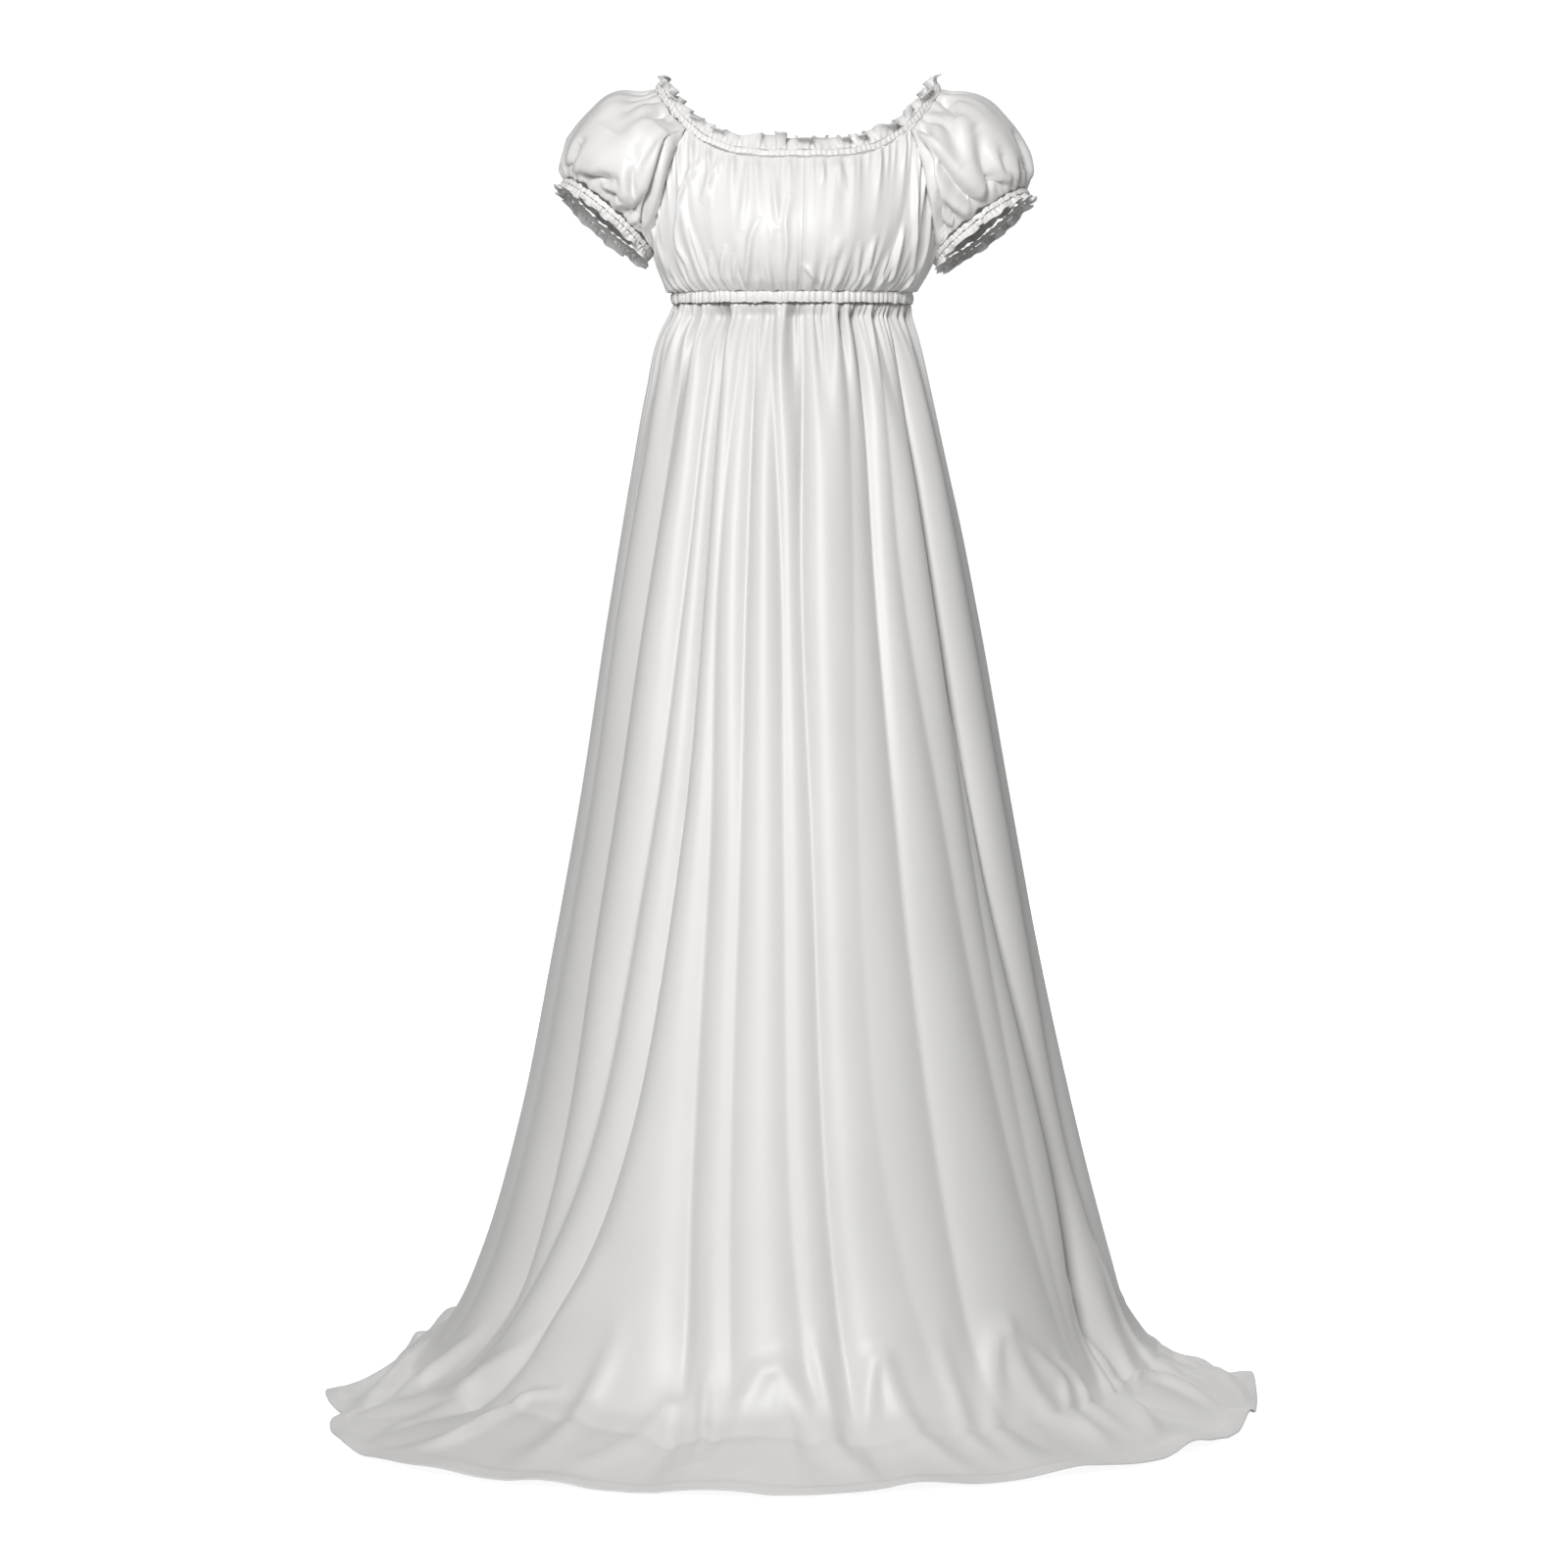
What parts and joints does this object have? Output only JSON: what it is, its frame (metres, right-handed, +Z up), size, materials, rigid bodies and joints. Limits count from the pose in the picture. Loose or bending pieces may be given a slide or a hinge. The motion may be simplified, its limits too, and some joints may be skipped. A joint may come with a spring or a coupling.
{
  "type": "high-waisted satin costume gown",
  "caption": "Floor-length high-waisted gown with a gathered off-shoulder neckline, short puffed sleeves and a short train, worn hollow.",
  "frame": {"origin": "middle of the neck opening at the height of its shoulder edges, where the wearer's shoulders hold the gown", "axes": "+Z up, -Y out of the front, +X towards the wearer's left; the floor is at z = -1.4 m"},
  "size_m": [0.9896, 1.1519, 1.4205],
  "materials": {
    "satin_skirt": "silver-white polyester satin, soft sheen",
    "satin_bodice": "silver-white polyester satin, finely gathered",
    "satin_casing": "satin casing puckered over elastic",
    "satin_frill": "single-layer satin frill with a narrow rolled edge"
  },
  "bodies": {
    "root": {"bodice_front_right": "satin_bodice", "bodice_front_left": "satin_bodice", "bodice_back": "satin_bodice", "sleeve_right": "satin_bodice", "sleeve_left": "satin_bodice", "neck_casing": "satin_casing", "neck_frill": "satin_frill", "cuff_casing_right": "satin_casing", "cuff_frill_right": "satin_frill", "cuff_casing_left": "satin_casing", "cuff_frill_left": "satin_frill", "waist_casing": "satin_casing", "skirt_front": "satin_skirt", "skirt_back": "satin_skirt"}
  },
  "joints": []
}
